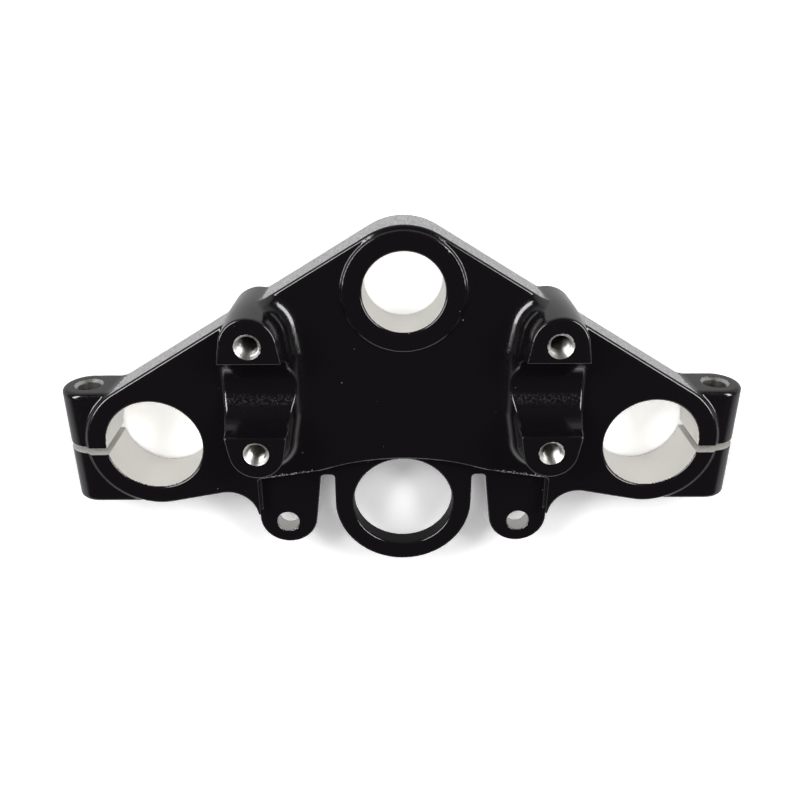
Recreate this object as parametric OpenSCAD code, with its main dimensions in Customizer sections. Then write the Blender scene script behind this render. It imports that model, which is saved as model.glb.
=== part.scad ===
// Motorcycle triple clamp, the upper one: a single casting that holds both fork tubes,
// sits on the steering stem and carries the handlebar on two saddles.
// The origin is on the stem bore's axis, level with the plate's flat top.
// +X runs to the rider's left fork, +Y from the forks to the stem, +Z up the stem.

/* [Forks] */
// Diameter of the fork tubes, and so of the two clamp bores
fork_d = 37; // [35:0.5:39]
// Distance between the two fork axes
fork_pitch = 193.2; // [190:0.1:200]
// Distance from the stem axis to the line through both fork axes
fork_offset = 61.8; // [60:0.1:64]
// Outer radius of the plate round each fork
clamp_r = 26; // [25:0.1:27]
// Bevel round the top of each fork bore
fork_bevel = 1.2; // [0.5:0.1:1.8]
// Bevel round the bottom of each fork bore
fork_lead = 0.7; // [0.3:0.1:1.5]
// Radius of the machined pad under each fork clamp
fork_pad_r = 23.2; // [22:0.1:24]
// Height of that pad below the plate's underside
fork_pad_h = 3; // [1:0.5:4]
// Bevel round the pad's lower edge
fork_pad_bevel = 0.6; // [0.2:0.1:1]

/* [Stem] */
// Diameter of the steering stem bore
stem_d = 30; // [28:0.5:32]
// Outer radius of the plate round the stem
apex_r = 24.1; // [23.5:0.1:26]
// Radius of the raised round boss on top
stem_boss_r = 22.4; // [20:0.1:23]
// Height of that boss above the plate
stem_boss_h = 1.3; // [0.8:0.1:2]
// Bevel at the top of the stem bore
stem_bevel = 1.1; // [0.5:0.1:1.2]
// Bevel at the underside of the stem bore
stem_lead = 2; // [1:0.1:3]

/* [Plate] */
// Thickness of the plate
plate_t = 21; // [19:0.5:23]
// Rounding of the plate's top edge
top_round = 1.2; // [0.6:0.1:1.2]
// Rounding of the plate's bottom edge
bottom_round = 2; // [1:0.1:2.5]
// Draft of the lower walls, in degrees
draft = 2; // [0:0.5:3]

/* [Pinch clamps] */
// Width of the slit through each clamp
slit_w = 2.9; // [2:0.1:3.5]
// How far the slit lies in front of the fork axis
slit_shift = 2.4; // [0:0.1:4]
// Distance from the fork axis to the pinch bolt's axis
bolt_out = 25.4; // [24:0.1:27]
// Depth of the pinch bolt's axis below the plate's top
bolt_down = 11.3; // [10:0.1:13]
// Radius of the round pinch boss
pinch_r = 9.9; // [9:0.1:11]
// Length of the pinch boss along its bolt
pinch_len = 47.4; // [44:0.1:50]
// Rounding of the boss's two ends
pinch_round = 1.8; // [1:0.1:3]
// Diameter of the clearance hole in the boss's rear half
pinch_hole_d = 8.8; // [8.4:0.1:9.2]
// Bevel round both ends of the bolt hole
pinch_bevel = 1.1; // [0.5:0.1:1.5]

/* [Handlebar saddles] */
// Distance between the two risers
riser_pitch = 108.6; // [104:0.1:112]
// Height of the risers above the plate
riser_h = 17; // [15:0.5:20]
// Width of a riser across the bar's axis
riser_w = 24; // [22:0.5:26]
// Diameter of the bar that lies in the saddles
bar_d = 28.6; // [28:0.1:29]
// Distance from the stem axis to the bar's axis
bar_offset = 35.3; // [34:0.1:37]
// Distance between the two cap screws of one riser
cap_pitch = 42.2; // [40:0.1:44]
// Radius of a riser's round ends
riser_end_r = 10.3; // [9.5:0.1:11]
// Draft of the riser's sides, in degrees
riser_draft = 3.5; // [1:0.5:5]
// Fillet between a riser and the plate
riser_fillet = 6; // [2:0.5:6]
// Rounding of the riser's top edge
riser_round = 0.8; // [0.4:0.1:1.2]
// Height of the column's lower end above the plate's underside
column_up = 0.5; // [0.2:0.1:2]
// Radial clearance between the bar and its saddle
bar_clear = 0.1; // [0:0.05:0.5]
// Height of the bar's axis above the riser's top
bar_lift = 0.3; // [0:0.1:1]
// Depth of the relief along both edges of the saddle
saddle_relief = 0.6; // [0.2:0.1:1]
// Depth of the tapped holes below the riser's top
tap_depth = 28; // [20:1:32]

/* [Threads] */
// Nominal diameter of the screws
thread_d = 8; // [8:1:8]
// Pitch of their thread
thread_p = 1.25; // [1:0.25:1.25]
// Diameter of the countersink over a tapped hole
tap_sink_d = 9.5; // [8.5:0.1:10]

/* [Front ring and lugs] */
// Depth of the ring's and lugs' tops below the plate's top
step_down = 5.5; // [5:0.5:9]
// Thickness of the ring and the lugs
apron_t = 8; // [7:0.5:10]
// Distance from the stem axis to the ring's centre
ring_offset = 91.7; // [90:0.1:94]
// Inner radius of the ring
ring_bore_r = 20.2; // [19:0.1:21]
// Outer radius of the ring
ring_r = 27.7; // [26:0.1:28]
// Bevel at the ring's upper edge
ring_bevel = 1.1; // [0.4:0.1:1.5]
// Distance between the two lug holes
lug_pitch = 95; // [93:0.1:97]
// Distance from the stem axis to the lug holes
lug_hole_offset = 100.6; // [99:0.1:103]
// Distance from the stem axis to the centre of a lug's round end
lug_offset = 98.7; // [97:0.1:101]
// Radius of a lug's round end
lug_r = 11.7; // [11:0.1:12]
// Diameter of a lug hole
lug_hole_d = 9; // [8:0.1:10]
// Bevel at the top of a lug hole
lug_bevel = 0.5; // [0.2:0.1:1]
// Distance from the stem axis to the inner end of the gaps beside the ring
gap_offset = 78.7; // [78:0.1:81]
// Width of those gaps at their inner end
gap_w = 5.6; // [4:0.1:7]

/* [Smoothness] */
// Largest turn between two points of an outline, in degrees
arc_step = 12; // [6:1:15]
// Number of steps in a rounded edge
round_steps = 1; // [1:1:4]
// Number of steps in a fillet
fillet_steps = 3; // [2:1:5]

/* [Hidden] */

black_paint = [0.075, 0.065, 0.08];
$fn = 96;

fork_x = fork_pitch/2;
fork_y = -fork_offset;
fork_r = fork_d/2;
stem_r = stem_d/2;
bolt_x = fork_x + bolt_out;
slit_y = fork_y - slit_shift;
pad_z = -plate_t - fork_pad_h;
riser_x = riser_pitch/2;
bar_y = -bar_offset;
bar_r = bar_d/2;
tap_r = (thread_d - thread_p)/2;
lug_x = lug_pitch/2;

// Outward draft of a riser between its top and the plate
riser_flare = riser_h*tan(riser_draft);
// Inward draft of the lower walls between the plate's top and its underside
lower_taper = plate_t*tan(draft);

// An outline is a list of circles [x, y, r], anticlockwise. Neighbours are joined by
// their common tangent. A negative r is a hollow corner, its centre outside the metal.

// Direction of the outward normal on the tangent from circle a to circle b
function tangent_dir(a, b) =
    let (d = [b[0] - a[0], b[1] - a[1]])
    atan2(d[1], d[0]) - acos((a[2] - b[2])/norm(d));

// Angle in the range 0 to 360
function wrapped(a) = a - 360*floor(a/360);

// Directions of the outward normal at the outline's points round circle i
function arc_dirs(rings, i) =
    let (n = len(rings),
         start = tangent_dir(rings[(i + n - 1) % n], rings[i]),
         stop = tangent_dir(rings[i], rings[(i + 1) % n]),
         turn = rings[i][2] > 0 ? wrapped(stop - start) : -wrapped(start - stop),
         steps = max(1, ceil(abs(turn)/arc_step)))
    [for (k = [0:steps]) start + turn*k/steps];

// Points of the outline, moved inwards by inset
function outline(rings, inset = 0) =
    [for (i = [0:len(rings) - 1])
        let (c = rings[i])
        for (a = arc_dirs(rings, i)) [c[0], c[1]] + (c[2] - inset)*[cos(a), sin(a)]];

// A solid through a convex outline at each level [z, inset], from the lowest up.
// It is made a little too long and then cut flat at both ends.
module lofted(rings, levels) {
    n = len(outline(rings));
    low = levels[0];
    high = levels[len(levels) - 1];
    all_levels = concat([[low[0] - 1, low[1]]], levels, [[high[0] + 1, high[1]]]);
    rows = len(all_levels);
    points = [for (lv = all_levels) for (p = outline(rings, lv[1])) [p[0], p[1], lv[0]]];
    sides = [for (r = [0:rows - 2]) for (i = [0:n - 1])
        [r*n + i, (r + 1)*n + i, (r + 1)*n + (i + 1) % n, r*n + (i + 1) % n]];
    floor_face = [for (i = [0:n - 1]) i];
    roof_face = [for (i = [n - 1:-1:0]) (rows - 1)*n + i];
    intersection() {
        polyhedron(points, concat(sides, [floor_face, roof_face]), convexity = 8);
        translate([-fork_pitch, -fork_pitch, low[0]])
            cube([2*fork_pitch, 2*fork_pitch, high[0] - low[0]]);
    }
}

// Levels of an edge rounded by r that ends at height z: side is 1 at the top, -1 below
function rounding(z, r, inset, side) =
    [for (k = [0:round_steps])
        let (a = 90*(side > 0 ? k : round_steps - k)/round_steps)
        [z - side*r*(1 - sin(a)), inset + r*(1 - cos(a))]];

// The same circles on the other side, in the order that keeps the outline anticlockwise
function mirrored(rings) = [for (i = [len(rings) - 1:-1:0]) [-rings[i][0], rings[i][1], rings[i][2]]];

// Front edge of the plate, from one clamp to the other: an arch beside each lug,
// then the step down to the lugs, which bends gently round the ring
arch_r = 11.5;
arch_x = lug_x + lug_r - 0.5 + arch_r;
arch_y = fork_y - clamp_r - 7.2;
step_x = lug_x + 10;
step_y = -gap_offset + 1.4;
step_corner_r = 1.5;
relief_r = 100;
relief_y = -ring_offset + ring_bore_r + ring_bevel + 2.1;
// The pointed end between the arch and the step touches the arch
tip_r = 0.6;
tip_reach = arch_r + tip_r + 0.1;
tip_y = arch_y + sqrt(pow(tip_reach, 2) - pow(arch_x - step_x - tip_r, 2));
// The bend between the step and the stretch behind the ring touches that stretch
bend_r = 12;
bend_x = 36;
bend_y = relief_y - relief_r + sqrt(pow(relief_r + bend_r + 0.2, 2) - pow(bend_x, 2));
left_front = [
    [-fork_x, fork_y, clamp_r],
    [-arch_x, arch_y, -arch_r],
    [-step_x - tip_r, tip_y, tip_r],
    [-step_x + step_corner_r, step_y - step_corner_r, -step_corner_r],
    [-bend_x, bend_y, bend_r],
];
front_rings = concat(left_front, [[0, relief_y - relief_r, -relief_r]], mirrored(left_front));

// The plate round the stem and both forks, before its front edge is cut
front_corner = [arch_x - 10, arch_y, 1.5];
plate_rings = [
    [0, 0, apex_r],
    [-fork_x, fork_y, clamp_r],
    [-front_corner[0], front_corner[1], front_corner[2]],
    front_corner,
    [fork_x, fork_y, clamp_r],
];

// The cut starts on each clamp's front, a little outside its axis
cut_x = fork_x + 3.2;
cut_y = fork_y - sqrt(pow(clamp_r, 2) - pow(cut_x - fork_x, 2));
cut_end = fork_y - clamp_r - 10;
front_void = concat(
    [[-cut_x, cut_end], [-cut_x, cut_y], [-fork_x, fork_y - clamp_r]],
    [for (i = [1:len(front_rings) - 2])
        for (a = arc_dirs(front_rings, i))
            [front_rings[i][0], front_rings[i][1]] + front_rings[i][2]*[cos(a), sin(a)]],
    [[fork_x, fork_y - clamp_r], [cut_x, cut_y], [cut_x, cut_end]]);

// The riser's outline: round ends about the cap screws, wider beside the saddle
riser_side_r = 6;
riser_side_x = riser_w/2 - riser_side_r;
riser_side_y = bar_r - riser_side_r/2;
riser_rings = [
    [riser_x, bar_y + cap_pitch/2, riser_end_r],
    [riser_x - riser_side_x, bar_y + riser_side_y, riser_side_r],
    [riser_x - riser_side_x, bar_y - riser_side_y, riser_side_r],
    [riser_x, bar_y - cap_pitch/2, riser_end_r],
    [riser_x + riser_side_x, bar_y - riser_side_y, riser_side_r],
    [riser_x + riser_side_x, bar_y + riser_side_y, riser_side_r],
];

// The low level in front: both lugs and the ring, joined behind by a strip under the plate
gap_corner_r = 1.5;
lug_root_r = 3;
lug_end_x = lug_x - 0.3;
left_apron = [
    [-lug_end_x - lug_r + lug_root_r, relief_y, lug_root_r],
    [-lug_end_x, -lug_offset, lug_r],
    [-ring_r - gap_w + gap_corner_r, -gap_offset - gap_corner_r, -gap_corner_r],
    [-ring_r - gap_corner_r, -gap_offset - gap_corner_r, -gap_corner_r],
];
apron_rings = concat(left_apron, [[0, -ring_offset, ring_r]], mirrored(left_apron));

// The pinch boss's section, seen along its bolt: round outside, square inside the clamp
pinch_root = bolt_out - fork_r + 9;
pinch_corner_r = 2;
pinch_rings = [
    [0, 0, pinch_r],
    [-pinch_root, pinch_r - pinch_corner_r, pinch_corner_r],
    [-pinch_root, -pinch_r + pinch_corner_r, pinch_corner_r],
];

module both_sides() {
    children();
    mirror([1, 0, 0]) children();
}

module plate() {
    difference() {
        lofted(plate_rings, concat(
            rounding(-plate_t, bottom_round, lower_taper, -1),
            rounding(0, top_round, 0, 1)));
        translate([0, 0, -plate_t - 1]) linear_extrude(plate_t + 2) polygon(front_void);
    }
}

module riser() {
    base = -riser_flare;
    lofted(riser_rings, concat(
        rounding(-plate_t + column_up, bottom_round, base + lower_taper, -1),
        [[0, base]],
        rounding(riser_h, riser_round, 0, 1)));
    // The fillet stops just inside the plate's rounded rear edge
    fillet_end = apex_r - top_round - 0.1;
    rear_dir = tangent_dir(plate_rings[len(plate_rings) - 1], plate_rings[0]);
    difference() {
        lofted(riser_rings, concat(
            [[-top_round - 1, base - riser_fillet]],
            [for (k = [0:fillet_steps])
                let (a = 90*k/fillet_steps)
                [riser_fillet*(1 - cos(a)), base - riser_fillet*(1 - sin(a))]]));
        rotate([0, 0, rear_dir]) translate([fillet_end, -2*fork_pitch, -plate_t])
            cube([fork_pitch, 4*fork_pitch, 2*plate_t]);
    }
}

module apron() {
    translate([0, 0, -step_down - apron_t]) linear_extrude(apron_t) polygon(outline(apron_rings));
}

module pinch_boss() {
    back = slit_y + pinch_len/2;
    translate([bolt_x, back, -bolt_down]) rotate([90, 0, 0])
        lofted(pinch_rings, concat(
            rounding(0, pinch_round, 0, -1),
            rounding(pinch_len, pinch_round, 0, 1)));
}

// A round boss standing h above z = 0, with a fillet at its foot
module stem_boss() {
    foot = 1;
    rotate_extrude() polygon(concat(
        [[0, -1], [stem_boss_r + foot, -1]],
        [for (k = [0:fillet_steps])
            let (a = 90*k/fillet_steps)
            [stem_boss_r + foot*(1 - sin(a)), foot*(1 - cos(a))]],
        [[stem_boss_r - 0.3, stem_boss_h], [0, stem_boss_h]]));
}

module fork_pad() {
    translate([fork_x, fork_y, pad_z]) {
        cylinder(r1 = fork_pad_r - fork_pad_bevel, r2 = fork_pad_r, h = fork_pad_bevel);
        translate([0, 0, fork_pad_bevel]) cylinder(r = fork_pad_r, h = fork_pad_h);
    }
}

// A bore with a bevel at its upper end: top is the surface it opens in
module bevelled_bore(r, top, depth, bevel) {
    translate([0, 0, top - depth]) cylinder(r = r, h = depth + 1);
    translate([0, 0, top - bevel]) cylinder(r1 = r, r2 = r + bevel + 1, h = bevel + 1);
}

module fork_bore() {
    translate([fork_x, fork_y, 0]) {
        bevelled_bore(fork_r, 0, -pad_z + 1, fork_bevel);
        translate([0, 0, pad_z - 1])
            cylinder(r1 = fork_r + fork_lead + 1, r2 = fork_r, h = fork_lead + 1);
    }
}

module stem_bore() {
    bevelled_bore(stem_r, stem_boss_h, plate_t + stem_boss_h + 1, stem_bevel);
    translate([0, 0, -plate_t - 1])
        cylinder(r1 = stem_r + stem_lead + 1, r2 = stem_r, h = stem_lead + 1);
}

module ring_bore() {
    translate([0, -ring_offset, 0]) bevelled_bore(ring_bore_r, -step_down, apron_t + 1, ring_bevel);
}

module lug_bore() {
    translate([lug_x, -lug_hole_offset, 0])
        bevelled_bore(lug_hole_d/2, -step_down, apron_t + 1, lug_bevel);
}

// The slit runs outwards from the bore, and the bolt crosses it
module pinch_cuts() {
    translate([fork_x + fork_r/2, slit_y - slit_w/2, pad_z - 1])
        cube([bolt_out + pinch_r, slit_w, -pad_z + 2]);
    translate([bolt_x, slit_y, -bolt_down]) {
        rotate([-90, 0, 0]) bevelled_bore(pinch_hole_d/2, pinch_len/2, pinch_len/2, pinch_bevel);
        rotate([90, 0, 0]) bevelled_bore(tap_r, pinch_len/2, pinch_len/2, thread_d/2 - tap_r + pinch_bevel);
    }
}

// Blind hole with a drilled point and a countersink
module tapped_hole() {
    point_h = tap_r/2;
    translate([0, 0, riser_h]) bevelled_bore(tap_r, 0, tap_depth, tap_sink_d/2 - tap_r);
    translate([0, 0, riser_h - tap_depth - point_h]) cylinder(r1 = 0.2, r2 = tap_r, h = point_h);
}

module saddle_cut() {
    translate([riser_x, bar_y, riser_h + bar_lift]) rotate([0, 90, 0])
        cylinder(r = bar_r + bar_clear, h = 2*riser_w, center = true);
    relief_w = bar_d + 2*saddle_relief;
    translate([riser_x - riser_w, bar_y - relief_w/2, riser_h - saddle_relief])
        cube([2*riser_w, relief_w, saddle_relief + 1]);
}

module yoke() {
    color(black_paint) difference() {
        union() {
            plate();
            apron();
            stem_boss();
            both_sides() {
                riser();
                pinch_boss();
                fork_pad();
            }
        }
        stem_bore();
        ring_bore();
        both_sides() {
            fork_bore();
            pinch_cuts();
            lug_bore();
            saddle_cut();
            for (side = [-1, 1])
                translate([riser_x, bar_y + side*cap_pitch/2, 0]) tapped_hole();
        }
    }
}

yoke();
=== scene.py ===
# %% [markdown]
# # A motorcycle's upper triple clamp
# The real object is one aluminium casting. It is painted gloss black, and the stem and fork
# bores, the screw holes and the sawn slits are bare metal, because they are machined after
# the paint.
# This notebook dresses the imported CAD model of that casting: first its camera, then its body
# with the soft edges and fillets of a casting, then the finishes, the threads and the light.

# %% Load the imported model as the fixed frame
import math

import bpy
import numpy as np
from mathutils import Matrix, Vector


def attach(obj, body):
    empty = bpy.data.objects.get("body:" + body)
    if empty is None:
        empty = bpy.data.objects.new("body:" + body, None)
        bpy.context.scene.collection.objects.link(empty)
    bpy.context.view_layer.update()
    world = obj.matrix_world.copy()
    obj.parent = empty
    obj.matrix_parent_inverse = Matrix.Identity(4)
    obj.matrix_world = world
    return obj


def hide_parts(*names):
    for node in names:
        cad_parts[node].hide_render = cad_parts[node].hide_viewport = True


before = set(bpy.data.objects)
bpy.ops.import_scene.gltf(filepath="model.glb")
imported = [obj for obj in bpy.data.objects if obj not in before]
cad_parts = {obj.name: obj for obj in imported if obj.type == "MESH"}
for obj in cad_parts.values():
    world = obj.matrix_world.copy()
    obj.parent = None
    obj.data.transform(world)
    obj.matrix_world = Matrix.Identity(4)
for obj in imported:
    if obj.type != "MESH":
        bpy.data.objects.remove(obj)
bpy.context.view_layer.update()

MM = 0.001

# %% [markdown]
# ## The camera
# The picture was taken from above and behind: the stem is at the top of the picture, and the
# camera leans over it towards the front ring. A camera could be pointed by hand, but here its
# angles were worked out from the round bores, whose ellipses fix the tilt, so they are given
# as three turns. The lens follows from its focal length in pixels of an 800 pixel picture.

# %% Camera
PICTURE = 800
FOCAL_PIXELS = 827.2
CENTRE_PIXEL = 402.5
TILT, YAW, ROLL = (math.radians(a) for a in (-25.31, 0.62, 0.23))
CAMERA_PLACE = Vector((-3.81, 91.37, 283.04)) * MM

camera = bpy.data.objects.new("camera", bpy.data.cameras.new("camera"))
bpy.context.scene.collection.objects.link(camera)
bpy.context.scene.camera = camera
to_camera = (Matrix.Rotation(ROLL, 3, "Z") @ Matrix.Rotation(YAW, 3, "Y")
             @ Matrix.Rotation(-TILT, 3, "X"))
camera.matrix_world = Matrix.Translation(CAMERA_PLACE) @ to_camera.transposed().to_4x4()
camera.data.sensor_width = 36
camera.data.lens = FOCAL_PIXELS * camera.data.sensor_width / PICTURE
camera.data.shift_x = (PICTURE / 2 - CENTRE_PIXEL) / PICTURE
camera.data.clip_start, camera.data.clip_end = 0.01, 20
print("lens in mm:", round(camera.data.lens, 1))

# %% [markdown]
# ## The sizes
# Every size is in millimetres and is the size of the real thing: 37 mm fork tubes, a 28.6 mm
# handlebar, a 30 mm stem and M8 screws. The part is the same on both sides, so only its
# left half is described, and the other half is its mirror image.

# %% Sizes of the casting
# The fork bores with their clamps and pads, and the stem bore with its boss
FORK_X, FORK_Y, FORK_R = 96.6, -61.8, 18.5
CLAMP_R, FORK_BEVEL = 26.0, 1.2
PAD_R, PAD_HEIGHT = 23.2, 3.0
STEM_R, STEM_BEVEL, STEM_LEAD = 15.0, 1.1, 2.0
APEX_R, BOSS_R, BOSS_HEIGHT, BOSS_RIM = 24.1, 22.4, 1.3, 0.6
EDGE_ROUND, SMALL_FILLET, FILLET = 0.9, 0.8, 1.2
# The plate's thickness and edges. A boss or pad reaches into the plate as deep as SUNK
PLATE, TOP_ROUND, BOTTOM_ROUND, SUNK = 21.0, 1.3, 2.0, 4.0
DRAFT = math.tan(math.radians(2.0))
# The slits and the pinch bosses
SLIT_Y, SLIT_W = FORK_Y - 2.4, 2.9
BOLT_X, BOLT_Z = FORK_X + 25.4, -11.3
PINCH_R, PINCH_LENGTH, PINCH_ROUND = 9.9, 47.4, 1.8
PINCH_HOLE_R, PINCH_BEVEL = 4.4, 1.1
# The risers. The bar's axis lies higher than their tops by BAR_LIFT, and their columns end
# above the plate's underside by COLUMN_UP
RISER_X, RISER_HEIGHT, RISER_W, RISER_END_R = 54.3, 17.0, 24.0, 10.3
RISER_DRAFT = math.tan(math.radians(3.5))
INNER_FILLET, OUTER_FILLET = 7.5, 2.0
COLUMN_UP, FLARE_BLEND = 0.5, 8
BAR_Y, BAR_R, BAR_LIFT, SADDLE_ROUND = -35.3, 14.4, 0.3, 0.7
SCREW_Y, SINK_R, TAP_DEPTH = 21.1, 4.75, 28.0
THREAD_R, THREAD_PITCH, THREAD_LENGTH = 4.0, 1.25, 16.0
TAP_R = THREAD_R - THREAD_PITCH / 2
# The apron is the thin front part: the step down to it, its thickness, its ring and lugs
STEP, APRON = 5.5, 8.0
RING_Y, RING_BORE_R, RING_R, RING_BEVEL = -91.7, 20.2, 27.7, 1.1
LUG_X, LUG_HOLE_Y, LUG_Y, LUG_R = 47.5, -100.6, -98.7, 11.7
LUG_HOLE_R, LUG_BEVEL = 4.5, 0.5
GAP_Y, GAP_W, GAP_ROUND = -78.7, 5.6, 1.5
print("fork bores, saddles and stem bore in mm:", 2 * FORK_R, 2 * BAR_R, 2 * STEM_R)

# %% [markdown]
# ## Outlines made of circles
# A pattern maker draws such a plate as circles joined by straight tangents: a circle round
# each bore, small ones at the corners, and hollow ones where the edge swings inwards. The
# same list of circles is used here. What is needed is not the line itself but the distance
# of any point to it, because distances can be blended into fillets later.

# %% Distance to an outline
def tangent_angle(a, b):
    """Direction of the outward normal on the tangent from circle a to circle b:
    the direction between the centres, less the angle whose cosine is the difference
    of the radii over the distance. A hollow circle has a negative radius."""
    dx, dy = b[0] - a[0], b[1] - a[1]
    return math.atan2(dy, dx) - math.acos((a[2] - b[2]) / math.hypot(dx, dy))


def outline_distance(circles, x, y):
    """Signed distance in the plane to circles joined by tangents, negative inside.
    For each circle it is the distance to the centre less the radius, where the point
    faces the circle's own arc, and for each tangent it is the distance along the
    normal, where the point lies beside it. The nearest of them all counts."""
    found = np.full(np.broadcast(x, y).shape, np.inf)

    def keep(distance, beside):
        nearer = beside & (np.abs(distance) < np.abs(found))
        found[nearer] = distance[nearer]

    for i, (cx, cy, r) in enumerate(circles):
        ahead = circles[(i + 1) % len(circles)]
        start = tangent_angle(circles[i - 1], circles[i])
        stop = tangent_angle(circles[i], ahead)
        side = 1 if r > 0 else -1
        turn = (side * (stop - start)) % (2 * math.pi)
        facing = np.arctan2(side * (y - cy), side * (x - cx))
        past = (side * (facing - start)) % (2 * math.pi)
        keep(side * np.hypot(x - cx, y - cy) - r, past <= turn + 1e-9)
        nx, ny = math.cos(stop), math.sin(stop)
        fx, fy = cx + r * nx, cy + r * ny
        length = (ahead[0] + ahead[2] * nx - fx) * -ny + (ahead[1] + ahead[2] * ny - fy) * nx
        along = (x - fx) * -ny + (y - fy) * nx
        keep((x - fx) * nx + (y - fy) * ny, (along >= 0) & (along <= length))
    return found


def mirrored(circles):
    """The same circles on the other side, in the order that runs on anticlockwise."""
    return [(-cx, cy, r) for cx, cy, r in reversed(circles)]


# %% The outlines of this casting
# The 0.1 and 0.2 below keep neighbouring circles apart: no such tangent joins crossing ones
ARCH_R = 11.5
ARCH_X, ARCH_Y = LUG_X + LUG_R - 0.5 + ARCH_R, FORK_Y - CLAMP_R - 7.2
STEP_X, STEP_Y, STEP_CORNER = LUG_X + 10, GAP_Y + 1.4, 1.5
TIP_R = 0.6
TIP_Y = ARCH_Y + math.sqrt((ARCH_R + TIP_R + 0.1) ** 2 - (ARCH_X - STEP_X - TIP_R) ** 2)
RELIEF_R, RELIEF_Y = 100, RING_Y + RING_BORE_R + RING_BEVEL + 2.1
BEND_R, BEND_X = 12, 36
BEND_Y = RELIEF_Y - RELIEF_R + math.sqrt((RELIEF_R + BEND_R + 0.2) ** 2 - BEND_X ** 2)

half_front = [(-FORK_X, FORK_Y, CLAMP_R), (-ARCH_X, ARCH_Y, -ARCH_R),
              (-STEP_X - TIP_R, TIP_Y, TIP_R),
              (-STEP_X + STEP_CORNER, STEP_Y - STEP_CORNER, -STEP_CORNER),
              (-BEND_X, BEND_Y, BEND_R)]
PLATE_OUTLINE = [(0, 0, APEX_R), *half_front, (0, RELIEF_Y - RELIEF_R, -RELIEF_R),
                 *mirrored(half_front)]

half_apron = [(-LUG_X - LUG_R + 3.3, RELIEF_Y, 3), (-LUG_X + 0.3, LUG_Y, LUG_R),
              (-RING_R - GAP_W + GAP_ROUND, GAP_Y - GAP_ROUND, -GAP_ROUND),
              (-RING_R - GAP_ROUND, GAP_Y - GAP_ROUND, -GAP_ROUND)]
APRON_OUTLINE = [*half_apron, (0, RING_Y, RING_R), *mirrored(half_apron)]

SIDE_R = 6
side_x, side_y = RISER_W / 2 - SIDE_R, BAR_R - 0.1 - SIDE_R / 2
RISER_OUTLINE = [(RISER_X, BAR_Y + SCREW_Y, RISER_END_R),
                 (RISER_X - side_x, BAR_Y + side_y, SIDE_R),
                 (RISER_X - side_x, BAR_Y - side_y, SIDE_R),
                 (RISER_X, BAR_Y - SCREW_Y, RISER_END_R),
                 (RISER_X + side_x, BAR_Y - side_y, SIDE_R),
                 (RISER_X + side_x, BAR_Y + side_y, SIDE_R)]
PINCH_OUTLINE = [(0, 0, PINCH_R), (-16, PINCH_R - 2, 2), (-16, -PINCH_R + 2, 2)]
print("circles:", len(PLATE_OUTLINE), "for the plate,", len(APRON_OUTLINE), "for the apron")

# %% [markdown]
# ## The casting as one field
# A casting has no sharp inner corners: the sand mould rounds every edge, and metal fills
# every corner with a fillet. Modelling those with a bevel tool on a mesh with so many bores
# is fragile. A field of distances makes them easy: joining two distances with a quarter
# circle gives a fillet, and meeting them with one gives a rounded edge. The slits and screw
# holes are cut afterwards with plain maxima, so they stay as crisp as the machine leaves
# them, and the rims of the bores are eased a little.

# %% Blending distances
def filleted(a, b, r):
    """Both solids joined, with a hollow quarter circle of radius r where they meet."""
    return np.maximum(r, np.minimum(a, b)) - np.hypot(np.maximum(r - a, 0), np.maximum(r - b, 0))


def rounded(a, b, r):
    """What both solids share, with the edge between them rounded to radius r."""
    return np.minimum(-r, np.maximum(a, b)) + np.hypot(np.maximum(r + a, 0), np.maximum(r + b, 0))


def bevelled_hole(rho, r, height, top, bevel):
    """Distance outside a hole of radius r that opens at height top with a 45 degree bevel.
    rho is the distance to the hole's axis, and height runs along it."""
    cone = (r + bevel + height - top - rho) * math.sqrt(0.5)
    return np.maximum(r - rho, np.minimum(cone, r + bevel - rho))


def smooth_step(v, low, high):
    """0 below low, 1 above high and an S-shaped cubic between them."""
    t = np.clip((v - low) / (high - low), 0, 1)
    return t * t * (3 - 2 * t)


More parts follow.
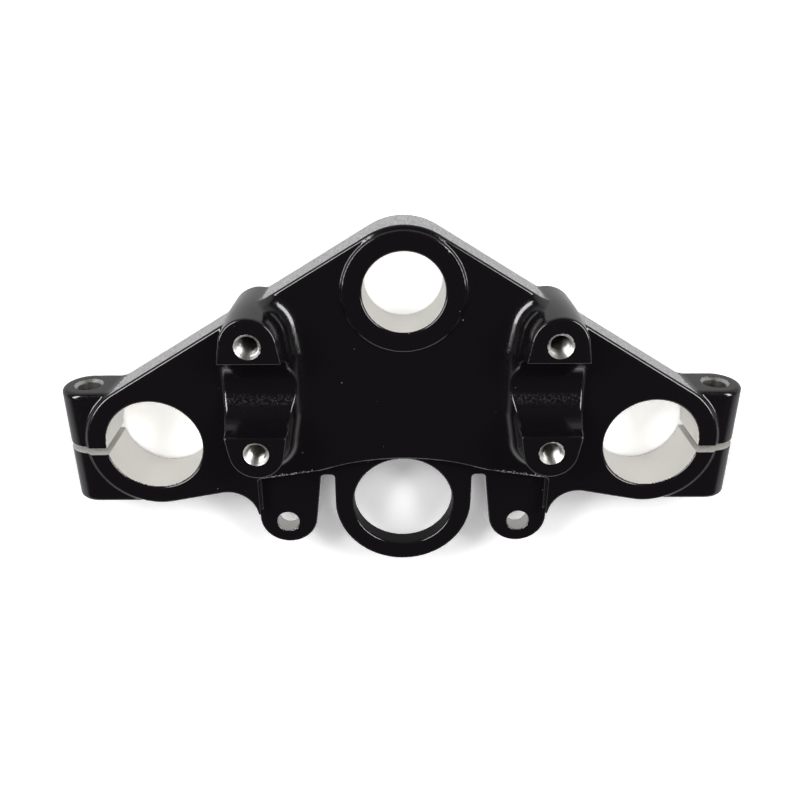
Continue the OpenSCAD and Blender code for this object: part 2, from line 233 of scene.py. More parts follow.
# %% The casting before it is machined
def cast_body(x, y, z):
    """Distance to the cast metal: plate, apron, boss, risers, clamps and pads, each one
    an outline cut to its height, joined one after the other with the casting's fillets.
    A riser widens downwards to the plate's top and narrows below it, and the root of a sum
    of squares turns one taper smoothly into the other. Its fillet is large on the plate's
    top, most of all on the inner side, and small down the wall."""
    edge = outline_distance(PLATE_OUTLINE, x, y)
    body = rounded(rounded(edge - z * DRAFT, z, TOP_ROUND), -PLATE - z, BOTTOM_ROUND)
    apron = rounded(outline_distance(APRON_OUTLINE, x, y), z + STEP, EDGE_ROUND)
    body = filleted(body, rounded(apron, -STEP - APRON - z, EDGE_ROUND), FILLET)
    boss = rounded(np.hypot(x, y) - BOSS_R, z - BOSS_HEIGHT, BOSS_RIM)
    body = filleted(body, np.maximum(boss, -SUNK - z), SMALL_FILLET)
    pad = np.maximum(np.hypot(x - FORK_X, y - FORK_Y) - PAD_R, z + PLATE - SUNK)
    body = filleted(body, rounded(pad, -PLATE - PAD_HEIGHT - z, BOSS_RIM), SMALL_FILLET)
    pinch = rounded(outline_distance(PINCH_OUTLINE, x - BOLT_X, z - BOLT_Z),
                    np.abs(y - SLIT_Y) - PINCH_LENGTH / 2, PINCH_ROUND)
    body = filleted(body, pinch, FILLET)
    above = (z + np.hypot(z, FLARE_BLEND)) / 2
    flare = (RISER_HEIGHT - above) * RISER_DRAFT + (z - above) * DRAFT
    riser = rounded(outline_distance(RISER_OUTLINE, x, y) - flare, z - RISER_HEIGHT, EDGE_ROUND)
    riser = rounded(riser, -PLATE + COLUMN_UP - z, BOTTOM_ROUND)
    on_top = smooth_step(-edge, -1, 2) * smooth_step(z, -4, 0)
    fillet = OUTER_FILLET + (INNER_FILLET - OUTER_FILLET) * smooth_step(RISER_X - x, -4, 6)
    body = filleted(body, riser, SMALL_FILLET + (fillet - SMALL_FILLET) * on_top)
    saddle = BAR_R - np.hypot(y - BAR_Y, z - RISER_HEIGHT - BAR_LIFT)
    return rounded(body, saddle, SADDLE_ROUND)


# %% What the machines cut away
def machined_cuts(x, y, z):
    """Each cut that a machine makes, by name: the distance outside it, and the radius to
    which its rim is eased. The rims of the bores and of the lug holes are painted."""
    stem = np.hypot(x, y)
    fork = np.hypot(x - FORK_X, y - FORK_Y)
    lug = np.hypot(x - LUG_X, y - LUG_HOLE_Y)
    screw = np.hypot(x - RISER_X, np.abs(y - BAR_Y) - SCREW_Y)
    bolt = np.hypot(x - BOLT_X, z - BOLT_Z)
    stem_lead = (STEM_R + STEM_LEAD - PLATE - z - stem) * math.sqrt(0.5)
    screw_hole = bevelled_hole(screw, THREAD_R, z, RISER_HEIGHT, SINK_R - THREAD_R)
    clear_hole = bevelled_hole(bolt, PINCH_HOLE_R, y, SLIT_Y + PINCH_LENGTH / 2, PINCH_BEVEL)
    tapped_hole = bevelled_hole(bolt, THREAD_R, -y, PINCH_LENGTH / 2 - SLIT_Y, PINCH_BEVEL)
    slit = np.minimum(SLIT_W / 2 - np.abs(y - SLIT_Y), x - FORK_X - FORK_R / 2)
    return {
        "stem bore": (np.maximum(STEM_R - stem, stem_lead), STEM_BEVEL),
        "fork bore": (FORK_R - fork, FORK_BEVEL),
        "ring bore": (RING_BORE_R - np.hypot(x, y - RING_Y), RING_BEVEL),
        "lug hole": (LUG_HOLE_R - lug, LUG_BEVEL),
        "cap screw hole": (np.minimum(screw_hole, z - (RISER_HEIGHT - TAP_DEPTH)), 0),
        "pinch hole": (np.minimum(clear_hole, y - SLIT_Y), 0),
        "pinch thread": (np.minimum(tapped_hole, SLIT_Y - y), 0),
        "slit": (slit, 0),
    }


# %% The finished part
def casting(x, y, z):
    """Signed distance to the finished part: the cast body less every machined cut."""
    x = np.abs(x)
    body = cast_body(x, y, z)
    for distance, rim in machined_cuts(x, y, z).values():
        body = rounded(body, distance, rim) if rim else np.maximum(body, distance)
    return body


# %% [markdown]
# ## From the field to a mesh
# The surface is where the distance is zero. Marching cubes would chamfer every crisp edge,
# so this uses dual contouring: each small cell that the surface crosses gets one vertex, put
# where the tangent planes at its crossings meet. In a flat or gently curved cell that is on
# the surface, and at a crisp rim it is on the rim itself. Cells in a block whose normals all
# agree share one vertex, so the flat faces take few triangles and the rims take many.

# %% Normals from the field
def gradient(x, y, z, h=0.02):
    """Direction in which the distance grows, from differences over 2h along each axis."""
    g = np.stack([casting(x + h, y, z) - casting(x - h, y, z),
                  casting(x, y + h, z) - casting(x, y - h, z),
                  casting(x, y, z + h) - casting(x, y, z - h)], axis=-1)
    return g / np.maximum(np.linalg.norm(g, axis=-1, keepdims=True), 1e-9)


# %% Where the surface crosses the grid's edges
CELL = 0.62
SECANT_STEPS = 5


def grid_points(axes, index):
    """Places of the grid points with these numbers along the three axes."""
    return np.stack([axes[k][index[:, k]] for k in range(3)], axis=-1)


def edge_crossings(axes, field):
    """For each grid edge that the surface crosses: the number of the grid point where the
    edge starts, the crossing's place, whether that start is inside the metal, and the axis
    that the edge runs along. A crossing is found by linear interpolation and sharpened by
    the secant rule."""
    starts, crossings, inside, directions = [], [], [], []
    for k in range(3):
        a = field[tuple(slice(None, -1) if m == k else slice(None) for m in range(3))]
        b = field[tuple(slice(1, None) if m == k else slice(None) for m in range(3))]
        index = np.argwhere((a < 0) != (b < 0))
        va, vb = a[tuple(index.T)], b[tuple(index.T)]
        base, t, side = grid_points(axes, index), va / (va - vb), np.eye(3)[k]
        low_t, high_t = np.zeros_like(t), np.ones_like(t)
        low_v, high_v = va.copy(), vb.copy()
        for _ in range(SECANT_STEPS):
            v = casting(*(base + (t * CELL)[:, None] * side).T)
            same = (v < 0) == (low_v < 0)
            low_t, low_v = np.where(same, t, low_t), np.where(same, v, low_v)
            high_t, high_v = np.where(same, high_t, t), np.where(same, high_v, v)
            t = low_t + (high_t - low_t) * np.clip(low_v / (low_v - high_v), 0.05, 0.95)
        starts.append(index)
        crossings.append(base + (t * CELL)[:, None] * side)
        inside.append(va < 0)
        directions.append(np.full(len(index), k))
    return [np.concatenate(part) for part in (starts, crossings, inside, directions)]


# %% One vertex in each cell
# The four cells round an edge along each of the three axes, in order round the edge
CELLS_ROUND = np.array([[(0, 0, 0), (0, -1, 0), (0, -1, -1), (0, 0, -1)],
                        [(0, 0, 0), (0, 0, -1), (-1, 0, -1), (-1, 0, 0)],
                        [(0, 0, 0), (-1, 0, 0), (-1, -1, 0), (0, -1, 0)]])
# How strongly a vertex is held to the middle of its crossings where the planes leave it free
HOLD = 0.02


def cells_and_quads(starts, inside, directions, shape):
    """The cells that the surface passes through, and for each crossed edge the numbers of
    the four cells round it, in the order in which their quad faces out of the metal."""
    round_edge = starts[:, None, :] + CELLS_ROUND[directions]
    keys = np.ravel_multi_index(tuple(np.moveaxis(round_edge, -1, 0)), shape)
    used, quads = np.unique(keys, return_inverse=True)
    quads = quads.reshape(-1, 4)
    quads[~inside] = quads[~inside][:, ::-1]
    return np.stack(np.unravel_index(used, shape), axis=-1), quads


def cell_vertices(corners, quads, crossings, normals):
    """Each cell's vertex, the least squares meeting point of its crossings' tangent planes.
    It may leave the cell, whose low corner is given, by a tenth of its side. Each cell's
    crossings, normals and number of them, summed, are returned too."""
    def gather(values):
        return np.stack([np.bincount(quads.ravel(), np.repeat(v, 4), len(corners))
                         for v in values.T], axis=-1)

    sums = gather(np.column_stack([crossings, normals, np.ones(len(crossings))]))
    middle = sums[:, :3] / sums[:, 6:]
    offset = np.einsum("ij,ij->i", crossings, normals)
    products = normals[:, :, None] * normals[:, None, :]
    matrix = gather(products.reshape(-1, 9)).reshape(-1, 3, 3)
    right = gather(normals * offset[:, None]) - np.einsum("nij,nj->ni", matrix, middle)
    shift = np.linalg.solve(matrix + HOLD * np.eye(3), right[..., None])[..., 0]
    return np.clip(middle + shift, corners - 0.1 * CELL, corners + 1.1 * CELL), sums


# %% Fewer vertices where the surface is flat
# A block's side in cells, and by what share its summed normals may fall short of their number
BLOCKS = ((2, 1e-3), (4, 1e-4), (8, 1e-7))


def share_flat_blocks(points, cells, shape, sums):
    """For each cell the number of the vertex it uses. Where the normals in a block of 2, 4
    or 8 cells a side agree, the whole block uses one vertex in the middle of its crossings.
    They agree if their sum is nearly as long as their number. sums holds each cell's
    crossings, their normals and their number."""
    owner = np.arange(len(points))
    for side, slack in BLOCKS:
        block = np.ravel_multi_index(tuple((cells // side).T), shape)
        _, first, group = np.unique(block, return_index=True, return_inverse=True)
        total = np.stack([np.bincount(group, v) for v in sums.T], axis=-1)
        flat = np.linalg.norm(total[:, 3:6], axis=-1) > (1 - slack) * total[:, 6]
        points[first[flat]] = total[flat, :3] / total[flat, 6:]
        owner = np.where(flat[group], first[group], owner)
    return owner


# %% From quads to triangles
def split_quads(points, quads, facing):
    """Two triangles for each quad. The diagonal is the one whose middle lies nearer to the
    surface and whose triangles both face outwards; triangles without area are left out."""
    a, b, c, d = quads.T
    off, pairs = [], []
    for first, second in (((a, b, c), (a, c, d)), ((b, c, d), (b, d, a))):
        pairs.append(np.stack([first, second], axis=-1))
        middle = (points[second[0]] + points[second[1]]) / 2
        distance = np.abs(casting(*middle.T))
        for corners in (first, second):
            p, q, r = (points[k] for k in corners)
            turned = np.einsum("ij,ij->i", np.cross(q - p, r - p), facing) < 0
            distance = distance + 10 * turned
        off.append(distance)
    triangles = np.where((off[0] <= off[1])[:, None], *pairs).reshape(3, -1).T
    p, q, r = triangles.T
    return triangles[(p != q) & (q != r) & (r != p)]


# %% Mesh the casting
def contour(low, high):
    """Vertices and triangles of the surface of zero distance, in the box between two
    corners."""
    axes = [np.arange(a, b + CELL, CELL) for a, b in zip(low, high)]
    field = casting(*np.meshgrid(*axes, indexing="ij", sparse=True))
    starts, crossings, inside, directions = edge_crossings(axes, field)
    normals = gradient(*crossings.T)
    cells, quads = cells_and_quads(starts, inside, directions, field.shape)
    points, sums = cell_vertices(grid_points(axes, cells), quads, crossings, normals)
    owner = share_flat_blocks(points, cells, field.shape, sums)
    triangles = split_quads(points, owner[quads], normals)
    kept, triangles = np.unique(triangles, return_inverse=True)
    return points[kept], triangles.reshape(-1, 3)


GRID_LOW = (-133.03, -121.27, -25.04)
GRID_HIGH = (133.3, 25.3, 18.3)
body_points, body_faces = contour(GRID_LOW, GRID_HIGH)
print("casting:", len(body_points), "points,", len(body_faces), "triangles")

# %% [markdown]
# ## Shading and bare metal
# A vertex on a rim has one place but several directions: the bevel's, the wall's and the
# face's. So every corner of every face gets its own normal, taken from the field a little
# way in from the corner towards the face's middle. Where the directions round a vertex agree
# within 20 degrees the vertex's own normal is used, which keeps fillets perfectly smooth.
# The same field tells which faces a machine cut, and those get the bare metal or, inside
# the front ring, matt paint.

# %% A normal for each corner of each face
SAME_DIRECTION = math.cos(math.radians(20))


def corner_normals(points, faces):
    """Normal of each face corner: the field's gradient a fifth of the way to the face's
    middle, or at the vertex itself where the faces round it agree."""
    middles = points[faces].mean(axis=1)
    own = gradient(*points.T)
    inner = points[faces] + 0.2 * (middles[:, None] - points[faces])
    inner = gradient(*inner.reshape(-1, 3).T).reshape(len(faces), 3, 3)
    total = np.stack([np.bincount(faces.ravel(), inner[..., k].ravel(), len(points))
                      for k in range(3)], axis=-1)
    total /= np.linalg.norm(total, axis=-1, keepdims=True)
    agree = np.einsum("qci,qci->qc", inner, total[faces])
    worst = np.ones(len(points))
    np.minimum.at(worst, faces.ravel(), agree.ravel())
    smooth = (worst > SAME_DIRECTION)[faces][..., None]
    own = np.where(np.einsum("ni,ni->n", own, total)[:, None] > SAME_DIRECTION, own, total)
    return np.where(smooth, own[faces], inner)


# %% A finish for each face
# A finish's number is its place in the list that the casting is given further down. The ring
# bore isn't bare: it has matt paint
CUT_FINISH = {"stem bore": 1, "fork bore": 1, "lug hole": 2, "cap screw hole": 2,
              "pinch hole": 2, "pinch thread": 2, "slit": 3, "ring bore": 4}
# Finish 5 is grey paint on the plate's rear walls: a painted reflection of the white table, with worn
# grain
REFLECTION_GREY_WALL, CHIPPED_PAINT = 5, 6
# In front of this the plate's rear walls have run into the pinch bosses
REAR_EDGE_Y = FORK_Y + CLAMP_R - 9


def face_materials(points, faces):
    """Material number of each face: that of the machine cut whose wall the face lies on,
    or 0, the paint. An eased rim is neither on a cut's wall nor bare. The plate's rear
    walls get grey paint, a painted reflection of the table with worn grain, and the rim of
    the step above the lugs is chipped."""
    x, y, z = points[faces].mean(axis=1).T
    x = np.abs(x)
    numbers = np.zeros(len(faces), int)
    on_body = np.abs(cast_body(x, y, z)) < 0.12
    for name, (distance, _) in machined_cuts(x, y, z).items():
        numbers[(np.abs(distance) < 0.08) & ~on_body] = CUT_FINISH[name]
    edge = outline_distance(PLATE_OUTLINE, x, y)
    on_wall = on_body & (np.abs(edge - z * DRAFT) < 0.1) & (z < -TOP_ROUND)
    # The rear walls get the grey of a painted reflection of the table
    numbers[on_wall & (z > BOTTOM_ROUND - PLATE) & (y > REAR_EDGE_Y)] = REFLECTION_GREY_WALL
    on_rim = on_body & (np.abs(edge) < TOP_ROUND) & (z > -TOP_ROUND) & (z < 0)
    numbers[on_rim & (y < BEND_Y) & (x > BEND_X) & (x < STEP_X - 1)] = CHIPPED_PAINT
    return numbers


# %% A helper for mesh pieces
def add_piece(name, points, faces, materials, numbers=None, normals=None):
    """A mesh piece with its points in millimetres, that rides on the one body."""
    mesh = bpy.data.meshes.new(name)
    mesh.from_pydata((points * MM).tolist(), [], faces.tolist())
    for material in materials:
        mesh.materials.append(material)
    if numbers is not None:
        mesh.polygons.foreach_set("material_index", numbers)
    mesh.polygons.foreach_set("use_smooth", np.ones(len(faces), bool))
    if normals is not None:
        mesh.normals_split_custom_set(normals.reshape(-1, 3).tolist())
    mesh.update()
    piece = bpy.data.objects.new(name, mesh)
    bpy.context.scene.collection.objects.link(piece)
    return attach(piece, "root")


# %% [markdown]
# ## Finishes
# Three finishes make this part. The first is gloss black paint, sprayed on a sand casting: it
# hides the metal's colour but not its skin, so a fine grain and a slow ripple break up its
# reflections, and it carries dust and a faint scuff where a handlebar lay. The second is the
# same paint chipped along the step, and grey on the plate's rear walls, where the grey is a
# painted reflection of the white table and the grain's crests are worn paint. The third is
# aluminium as the tool left it: bored walls have rings round their axis, and threads and sawn
# faces are a little rougher. Patterns follow real sizes in Object coordinates. One pixel of the
# picture is about 0.4 mm, so the finest patterns are drawn coarser than they are.

# %% A helper for materials
def linear(hex_colour):
    """An sRGB hex colour as linear red, green, blue and alpha."""
    parts = [int(hex_colour[i:i + 2], 16) / 255 for i in (1, 3, 5)]
    return (*[c / 12.92 if c <= 0.04045 else ((c + 0.055) / 1.055) ** 2.4 for c in parts], 1)


def add_node(tree, kind, inputs=(), **settings):
    """Adds a node. inputs pairs a socket's name or number with a value or another socket."""
    node = tree.nodes.new(kind)
    for name, value in settings.items():
        setattr(node, name, value)
    for key, value in dict(inputs).items():
        if isinstance(value, bpy.types.NodeSocket):
            tree.links.new(value, node.inputs[key])
        else:
            node.inputs[key].default_value = value
    return node


def new_material(name):
    """An empty material: its node tree, its Principled shader and the Object coordinates."""
    material = bpy.data.materials.new(name)
    material.use_nodes = True
    tree = material.node_tree
    shader = tree.nodes["Principled BSDF"]
    place = add_node(tree, "ShaderNodeTexCoord").outputs["Object"]
    return material, tree, shader, place


def per_mm(size):
    """Texture scale, in features per metre, for a feature of that size in millimetres."""
    return 1 / (size * MM)


# %% Dust and scuffs on the paint
DUST_CELL, DUST_R = 5, 0.3
SCUFF_Y = BAR_Y - 5
SCUFF_Z = RISER_HEIGHT + BAR_LIFT - BAR_R + 1.5


def dust_specks(tree, place):
    """1 on specks of dust. They lie at the seed points of half of the Voronoi cells, and
    each has its own radius, up to DUST_R."""
    cells = add_node(tree, "ShaderNodeTexVoronoi", {"Vector": place, "Scale": per_mm(DUST_CELL)})
    chance = add_node(tree, "ShaderNodeSeparateColor", {"Color": cells.outputs["Color"]})
    size = add_node(tree, "ShaderNodeMath", {0: chance.outputs["Green"], 1: DUST_R / DUST_CELL},
                    operation="MULTIPLY")
    speck = add_node(tree, "ShaderNodeMath", {0: cells.outputs["Distance"], 1: size.outputs[0]},
                     operation="LESS_THAN")
    some = add_node(tree, "ShaderNodeMath", {0: chance.outputs["Red"], 1: 0.5}, operation="LESS_THAN")
    return add_node(tree, "ShaderNodeMath", {0: speck.outputs[0], 1: some.outputs[0]},
                    operation="MULTIPLY").outputs[0]


def with_scuffs(tree, place, specks):
    """The specks, and up to 0.2 on a ragged line in each saddle, a little in front of its
    lowest line, where a handlebar has scuffed the paint."""
    spot = add_node(tree, "ShaderNodeSeparateXYZ", {"Vector": place})
    ahead = add_node(tree, "ShaderNodeMath", {0: spot.outputs["Y"], 1: -SCUFF_Y * MM}, operation="ADD")
    aside = add_node(tree, "ShaderNodeMath", {0: ahead.outputs[0]}, operation="ABSOLUTE")
    band = add_node(tree, "ShaderNodeMapRange", {"Value": aside.outputs[0], "From Min": 0.4 * MM,
                                                 "From Max": 2.4 * MM, "To Min": 0.2, "To Max": 0})
    in_saddle = add_node(tree, "ShaderNodeMath", {0: spot.outputs["Z"], 1: SCUFF_Z * MM, 2: 2 * MM},
                         operation="COMPARE")
    scrape = add_node(tree, "ShaderNodeTexNoise", {"Vector": place, "Scale": per_mm(0.9), "Detail": 3})
    bare = add_node(tree, "ShaderNodeMapRange", {"Value": scrape.outputs["Fac"], "From Min": 0.48,
                                                 "From Max": 0.6}).outputs["Result"]
    low = add_node(tree, "ShaderNodeMath", {0: in_saddle.outputs[0], 1: band.outputs["Result"]},
                   operation="MULTIPLY")
    return add_node(tree, "ShaderNodeMath", {0: low.outputs[0], 1: bare, 2: specks},
                    operation="MULTIPLY_ADD").outputs[0]


# %% Gloss black paint over a sand casting
BLACK, DUST_GREY = "#131013", "#6f6b6c"


def black_paint(name, smooth, dull):
    """Paint whose roughness runs from smooth to dull. The tops were machined before they
    were painted, so the sand's grain shows mainly on the walls, where the normal lies flat.
    Casting sand is about 0.3 mm, and its grain is drawn at 0.8 mm, so that it shows."""
    material, tree, shader, place = new_material(name)
    ripple = add_node(tree, "ShaderNodeTexNoise", {"Vector": place, "Scale": per_mm(11), "Detail": 1})
    grain = add_node(tree, "ShaderNodeTexNoise", {"Vector": place, "Scale": per_mm(0.8), "Detail": 3})
    facing = add_node(tree, "ShaderNodeNewGeometry").outputs["Normal"]
    upright = add_node(tree, "ShaderNodeSeparateXYZ", {"Vector": facing}).outputs["Z"]
    steep = add_node(tree, "ShaderNodeMath", {0: upright}, operation="ABSOLUTE").outputs[0]
    wall = add_node(tree, "ShaderNodeMapRange", {"Value": steep, "From Min": 0.25, "From Max": 0.6,
                                                 "To Min": 1.0, "To Max": 0.12}).outputs["Result"]
    marks = with_scuffs(tree, place, dust_specks(tree, place))
    colour = add_node(tree, "ShaderNodeMix", {"Factor": marks, "A": linear(BLACK),
                                              "B": linear(DUST_GREY)}, data_type="RGBA")
    tree.links.new(colour.outputs["Result"], shader.inputs["Base Color"])
    rough = add_node(tree, "ShaderNodeMapRange", {"Value": grain.outputs["Fac"], "From Min": 0.3,
                                                  "From Max": 0.7, "To Min": smooth, "To Max": dull})
    tree.links.new(rough.outputs["Result"], shader.inputs["Roughness"])
    bump = add_node(tree, "ShaderNodeBump", {"Height": ripple.outputs["Fac"], "Distance": 0.03 * MM})
    skin = add_node(tree, "ShaderNodeBump", {"Height": grain.outputs["Fac"], "Distance": 0.02 * MM,
                                             "Strength": wall, "Normal": bump.outputs["Normal"]})
    tree.links.new(skin.outputs["Normal"], shader.inputs["Normal"])
    return material


# The gloss coat mirrors the room in sharp lines. Inside the ring the coat is matt, so it
# stays evenly black
paint = black_paint("gloss_black_paint_on_cast_aluminium", 0.08, 0.2)
matt = black_paint("matt_black_paint_in_the_ring", 0.5, 0.65)
matt.node_tree.nodes["Principled BSDF"].inputs["Specular IOR Level"].default_value = 0.15


# %% Paint with a painted reflection on the rear walls, and chipped paint on the step
WEAR_AND_REFLECTION_SET_IN = 5


def wear_and_reflection_paint(name, paint_colour, metal_colour, grain_size, bare_from, bare_to, start):
    """Paint with the crests of the cast grain showing through it as metal. Where paint_colour
    is grey, on the rear walls, that grey is a painted reflection of the table. In front of
    start, a place in mm along Y, the paint is whole and black, and behind it the grey and
    the wear set in."""
    material, tree, shader, place = new_material(name)
    sand = add_node(tree, "ShaderNodeTexNoise", {"Vector": place, "Scale": per_mm(grain_size),
                                                 "Detail": 4})
    crests = add_node(tree, "ShaderNodeMapRange", {"Value": sand.outputs["Fac"], "From Min": bare_from,
                                                   "From Max": bare_to})
    shades = add_node(tree, "ShaderNodeMix", {"Factor": crests.outputs["Result"],
                                              "A": linear(paint_colour), "B": linear(metal_colour)},
                      data_type="RGBA")
    bump = add_node(tree, "ShaderNodeBump", {"Height": sand.outputs["Fac"], "Distance": 0.05 * MM})
    along = add_node(tree, "ShaderNodeSeparateXYZ", {"Vector": place}).outputs["Y"]
    grown = add_node(tree, "ShaderNodeMapRange", {"Value": along, "From Min": start * MM,
                                                  "From Max": (start + WEAR_AND_REFLECTION_SET_IN) * MM})
    colour = add_node(tree, "ShaderNodeMix", {"Factor": grown.outputs["Result"], "A": linear(BLACK),
                                              "B": shades.outputs["Result"]}, data_type="RGBA")
    tree.links.new(colour.outputs["Result"], shader.inputs["Base Color"])
    tree.links.new(bump.outputs["Normal"], shader.inputs["Normal"])
    shader.inputs["Roughness"].default_value = 0.35
    return material


# Its grey is a painted reflection of the white table, and its lighter crests are worn paint
wall_reflection_paint = wear_and_reflection_paint("painted_table_reflection_on_worn_cast_wall", "#868688", "#d6d6d6", 0.8, 0.36, 0.64,
                        REAR_EDGE_Y)
# The chips begin in front of the part, so the whole step can have them
chipped_paint = wear_and_reflection_paint("chipped_paint_on_the_step", BLACK, "#cfcdcd", 0.7, 0.5, 0.64,
                           GRID_LOW[1] - WEAR_AND_REFLECTION_SET_IN)


# %% Bare aluminium, as each tool leaves it
def bare_aluminium(name, colours, roughness, along, across, depth, metal):
    """Metal with marks of a tool: noise stretched so that its grains are `along` mm long
    round an upright axis and `across` mm wide along it, and a bump of `depth` mm. A torn
    surface spreads light like chalk, so it is only partly metallic."""
    material, tree, shader, place = new_material(name)
    stretch = add_node(tree, "ShaderNodeMapping", {
        "Vector": place, "Scale": (per_mm(along), per_mm(along), per_mm(across))})
    marks = add_node(tree, "ShaderNodeTexNoise", {"Vector": stretch.outputs[0], "Scale": 1.0,
                                                  "Detail": 2})
    shades = add_node(tree, "ShaderNodeMix", {"Factor": marks.outputs["Fac"], "A": linear(colours[0]),
                                              "B": linear(colours[1])}, data_type="RGBA")
    tree.links.new(shades.outputs["Result"], shader.inputs["Base Color"])
    rough = add_node(tree, "ShaderNodeMapRange", {"Value": marks.outputs["Fac"], "From Min": 0.3,
                                                  "From Max": 0.7, "To Min": roughness - 0.05,
                                                  "To Max": roughness + 0.05})
    tree.links.new(rough.outputs["Result"], shader.inputs["Roughness"])
    bump = add_node(tree, "ShaderNodeBump", {"Height": marks.outputs["Fac"], "Distance": depth * MM})
    tree.links.new(bump.outputs["Normal"], shader.inputs["Normal"])
    shader.inputs["Metallic"].default_value = metal
    return material


# Bored walls are pale with soft rings, tapped ones grey and bright in turn, sawn ones dull.
# The rings are cut about 0.2 mm apart and are drawn 0.6 mm wide, so that they show
bored = bare_aluminium("bored_bare_aluminium", ("#eeece5", "#f3f1ec"), 0.35, 30, 0.6, 0.0004, 0.4)
tapped = bare_aluminium("tapped_bare_aluminium", ("#aeaca8", "#d0cecb"), 0.36, 3, 0.4, 0.006, 1.0)
sawn = bare_aluminium("sawn_bare_aluminium", ("#b0aeab", "#f6f4f0"), 0.5, 0.8, 0.8, 0.02, 0.3)

# %% Put the casting in place
FINISHES = [paint, bored, tapped, sawn, matt, wall_reflection_paint, chipped_paint]
body_normals = corner_normals(body_points, body_faces)
body_numbers = face_materials(body_points, body_faces)
casting_piece = add_piece("casting", body_points, body_faces, FINISHES, body_numbers, body_normals)
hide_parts("yoke")
print("casting faces by material:", np.bincount(body_numbers).tolist())

# %% [markdown]
# ## Threads
# A thread is a ridge on a helix. Its wall can be written as a radius over the angle and the
# height: the ridge's profile repeats every pitch and moves up by one pitch per turn, so the
# surface closes on itself with no seam. The countersink cuts the first turn away.

# %% Threaded walls
def thread_wall(length, sink_r, crest_r, root_r, turns=48, per_pitch=6):
    """A closed sleeve with a thread inside, for a hole whose mouth is at height 0. It begins
    where the countersink has come down to the thread's root, and ends at -length. The inner
    radius is the crest's plus the thread's depth times a triangle wave of the height over
    the pitch less the angle over a full turn, flattened at its tips. It is never less than
    the countersink's cone."""
    angle = np.linspace(0, 2 * math.pi, turns, endpoint=False)
    top = -(sink_r - root_r) - 0.02
    steps = int(round(length / THREAD_PITCH * per_pitch))
    height = np.linspace(-length, top, steps)
    phase = (height[None] / THREAD_PITCH - angle[:, None] / (2 * math.pi)) % 1
    wave = np.clip(1.5 * (1 - np.abs(2 * phase - 1)) - 0.25, 0, 1)
    radius = np.maximum(crest_r + (root_r - crest_r) * wave, sink_r + height)
    ends = np.full((turns, 1), root_r + 0.06)
    radius = np.concatenate([radius, ends, ends], axis=1)
    height = np.concatenate([height, [top, -length]])
    points = np.stack([radius * np.cos(angle)[:, None], radius * np.sin(angle)[:, None],
                       np.broadcast_to(height, radius.shape)], axis=-1)
    rows = len(height)
    i, j = np.meshgrid(np.arange(turns), np.arange(rows), indexing="ij")

    def corner(a, b):
        return ((i + a) % turns * rows + (j + b) % rows).ravel()

    quads = np.stack([corner(0, 0), corner(0, 1), corner(1, 1), corner(1, 0)], axis=-1)
    return points.reshape(-1, 3), quads


# %% Put the threads in place
sleeve, sleeve_quads = thread_wall(THREAD_LENGTH, SINK_R, TAP_R, THREAD_R)
# The same sleeve with its mouth turned to the front, for the pinch bosses
lying = np.stack([sleeve[:, 0], -sleeve[:, 2], sleeve[:, 1]], axis=-1)
for side, side_name in ((1, "left"), (-1, "right")):
    for end, end_name in ((1, "rear"), (-1, "front")):
        mouth = np.array([side * RISER_X, BAR_Y + end * SCREW_Y, RISER_HEIGHT])
        add_piece(f"cap_thread_{side_name}_{end_name}", sleeve + mouth, sleeve_quads, [tapped])
    mouth = np.array([side * BOLT_X, SLIT_Y - PINCH_LENGTH / 2, BOLT_Z])
    add_piece(f"pinch_thread_{side_name}", lying + mouth, sleeve_quads, [tapped])
print("threads: 6 pieces of", 2 * len(sleeve_quads), "triangles each")

# %% [markdown]
# ## Floor, light and room
# Black gloss paint shows the room more than its own colour. A real photo table is white all
# round and dark overhead, so the top stays black, while edges that turn towards the table
# catch a thin pale line. The table is made white for the camera alone, so that the part is
# lit at a plain level. The world is pale near the horizon and dark above for reflections,
# and even for soft light. Two soft lamps behind the camera cast the shadows, and two
# strips at the sides, which only reflections see, draw the thin lines along the rims.

# %% Floor
floor_mesh = bpy.data.meshes.new("floor")
# A hair below the fork pads, so that the two faces don't flicker through each other
floor_gap = 0.02
reach, floor_z = 3, (-PLATE - PAD_HEIGHT - floor_gap) * MM
floor_mesh.from_pydata([(-reach, -reach, floor_z), (reach, -reach, floor_z), (reach, reach, floor_z),
                        (-reach, reach, floor_z)], [], [(0, 1, 2, 3)])
floor = bpy.data.objects.new("floor", floor_mesh)
bpy.context.scene.collection.objects.link(floor)

# %% The white photo table
table_top = bpy.data.materials.new("white_photo_table")
table_top.use_nodes = True
tree = table_top.node_tree
paper = tree.nodes["Principled BSDF"]
paper.inputs["Base Color"].default_value = linear("#e2e2e2")
paper.inputs["Roughness"].default_value = 0.9
paper.inputs["Specular IOR Level"].default_value = 0.0
path = add_node(tree, "ShaderNodeLightPath")
place = add_node(tree, "ShaderNodeTexCoord").outputs["Object"]
# For the camera the paper also glows: most far out, and more behind the part than in front.
# This glow is painted light, and where it is weak, near the part and in front of it, it leaves
# painted shade.
away = add_node(tree, "ShaderNodeVectorMath", {0: place}, operation="LENGTH").outputs["Value"]
outer = add_node(tree, "ShaderNodeMapRange", {"Value": away, "From Min": 0.13, "From Max": 0.4,
                                              "To Max": 0.8}).outputs["Result"]
depth = add_node(tree, "ShaderNodeSeparateXYZ", {"Vector": place}).outputs["Y"]
rear = add_node(tree, "ShaderNodeMapRange", {"Value": depth, "From Min": -0.085, "From Max": -0.015,
                                             "To Min": 0.05, "To Max": 0.5}).outputs["Result"]
painted_floor_light = add_node(tree, "ShaderNodeMath", {0: outer, 1: rear}, operation="ADD")
seen = add_node(tree, "ShaderNodeMath", {0: path.outputs["Is Camera Ray"], 1: painted_floor_light.outputs[0]},
                operation="MULTIPLY")
light = add_node(tree, "ShaderNodeEmission", {"Color": linear("#ffffff"), "Strength": seen.outputs[0]})
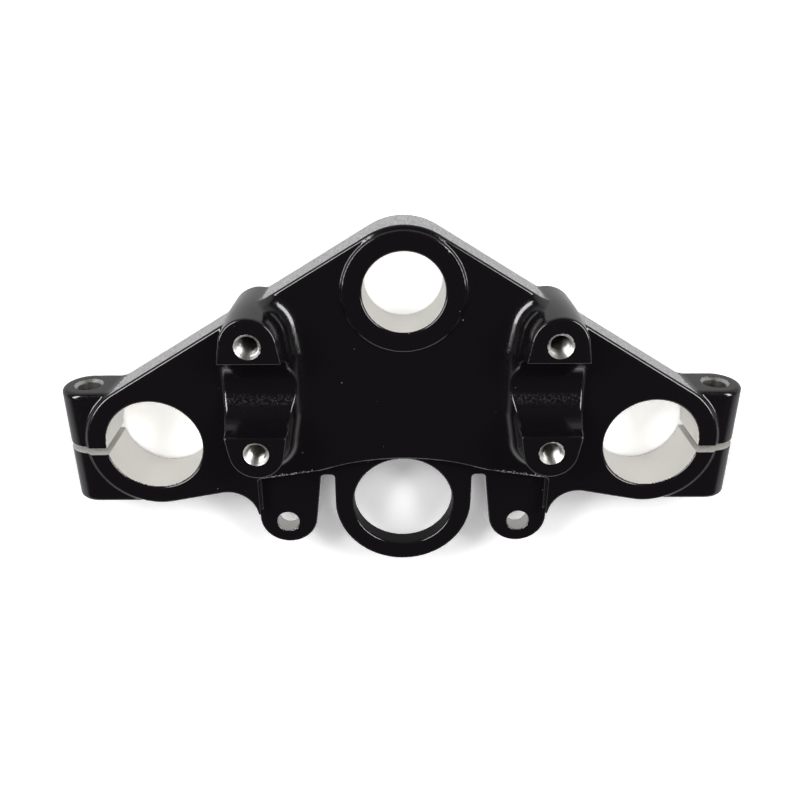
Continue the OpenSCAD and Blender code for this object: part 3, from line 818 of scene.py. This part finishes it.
# The camera sees a paper that sends back more light than it gets, which no other ray does
extra = add_node(tree, "ShaderNodeMix", {"Factor": path.outputs["Is Camera Ray"],
                                         "A": linear("#000000"), "B": linear("#c6c6c6")},
                 data_type="RGBA")
bright_paper = add_node(tree, "ShaderNodeBsdfDiffuse", {"Color": extra.outputs["Result"]})
seen_paper = add_node(tree, "ShaderNodeAddShader", {0: paper.outputs[0], 1: bright_paper.outputs[0]})
lit_paper = add_node(tree, "ShaderNodeAddShader", {0: seen_paper.outputs[0], 1: light.outputs[0]})
# Paint and metal mirror an even, pale table
mirrored_paper = add_node(tree, "ShaderNodeEmission", {"Color": linear("#ffffff"), "Strength": 0.6})
both = add_node(tree, "ShaderNodeMixShader", {0: path.outputs["Is Glossy Ray"],
                                              1: lit_paper.outputs[0], 2: mirrored_paper.outputs[0]})
tree.links.new(both.outputs[0], tree.nodes["Material Output"].inputs["Surface"])
floor_mesh.materials.append(table_top)

# %% World
world = bpy.data.worlds.new("photo_room")
bpy.context.scene.world = world
world.use_nodes = True
tree = world.node_tree
path = add_node(tree, "ShaderNodeLightPath")
way = add_node(tree, "ShaderNodeTexCoord").outputs["Generated"]
axes = add_node(tree, "ShaderNodeSeparateXYZ", {"Vector": way})
# In reflections the horizon is bright in front of the part and dim elsewhere
wide = add_node(tree, "ShaderNodeMapRange", {"Value": axes.outputs["Y"], "From Min": -1.0,
                                             "From Max": -0.3, "To Min": 2.2,
                                             "To Max": 0.25}).outputs["Result"]
room = add_node(tree, "ShaderNodeMapRange", {"Value": axes.outputs["Z"], "From Min": 0.05,
                                             "From Max": 0.35, "To Min": wide, "To Max": 0.03})
soft = add_node(tree, "ShaderNodeMix", {"Factor": path.outputs["Is Glossy Ray"], "A": 0.43,
                                        "B": room.outputs["Result"]})
level = add_node(tree, "ShaderNodeMix", {"Factor": path.outputs["Is Camera Ray"],
                                         "A": soft.outputs["Result"], "B": 1.0})
back = tree.nodes["Background"]
back.inputs["Color"].default_value = linear("#ffffff")
tree.links.new(level.outputs["Result"], back.inputs["Strength"])

# %% Lamps
MIDDLE = Vector((0, -0.045, 0))


def soft_lamp(name, place, width, height, watts, in_reflections):
    """A rectangular area lamp at a place in metres, turned towards the part's middle. It is
    seen in reflections only, or it lights surfaces and is not seen in reflections."""
    lamp = bpy.data.lights.new(name, "AREA")
    lamp.shape, lamp.size, lamp.size_y, lamp.energy = "RECTANGLE", width, height, watts
    lit = bpy.data.objects.new(name, lamp)
    bpy.context.scene.collection.objects.link(lit)
    lit.location = place
    lit.rotation_euler = (MIDDLE - Vector(place)).to_track_quat("-Z", "Y").to_euler()
    lit.visible_glossy, lit.visible_diffuse = in_reflections, not in_reflections


soft_lamp("lamp_left", (-0.82, 0.67, 0.95), 0.9, 0.3, 8.6, False)
soft_lamp("lamp_right", (0.82, 0.67, 0.95), 0.9, 0.3, 8.0, False)
soft_lamp("strip_left", (-1.03, 0.33, 0.86), 1.28, 0.4, 25, True)
soft_lamp("strip_right", (1.06, 0.26, 0.86), 1.15, 0.4, 22, True)

# %% The plain view transform
bpy.context.scene.view_settings.view_transform = "Standard"
